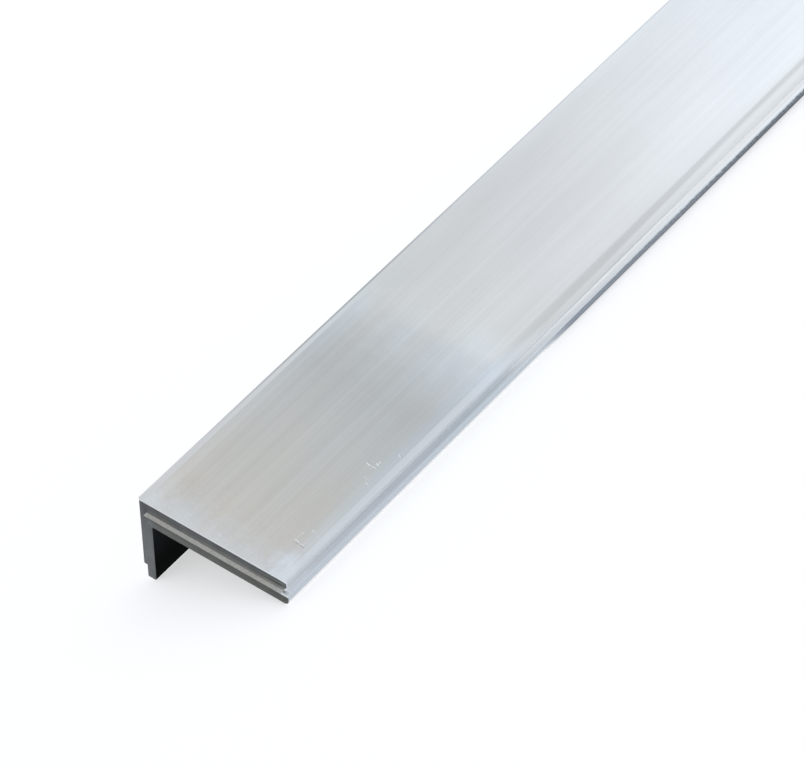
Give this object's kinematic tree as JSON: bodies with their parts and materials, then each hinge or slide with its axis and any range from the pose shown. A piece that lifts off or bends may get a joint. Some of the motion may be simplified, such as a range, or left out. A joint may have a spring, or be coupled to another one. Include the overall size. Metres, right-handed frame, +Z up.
{
  "type": "aluminium extrusion profile",
  "caption": "Straight aluminium angle profile of stepped section: a flat plate and one leg in two layers, the inner one standing out at the edge, the foot and one end.",
  "frame": {"origin": "on the floor, under the middle of the profile's box", "axes": "+Y along the length, away from the near sawn end; +X across the plates, from the leg to the ledge; +Z up from the floor that the foot and the lip lie on"},
  "size_m": [0.0554, 0.5, 0.0271],
  "materials": {
    "mill_aluminium": "mill finish with lengthwise die lines, sawn ends"
  },
  "bodies": {
    "root": {"profile": "mill_aluminium"}
  },
  "joints": []
}
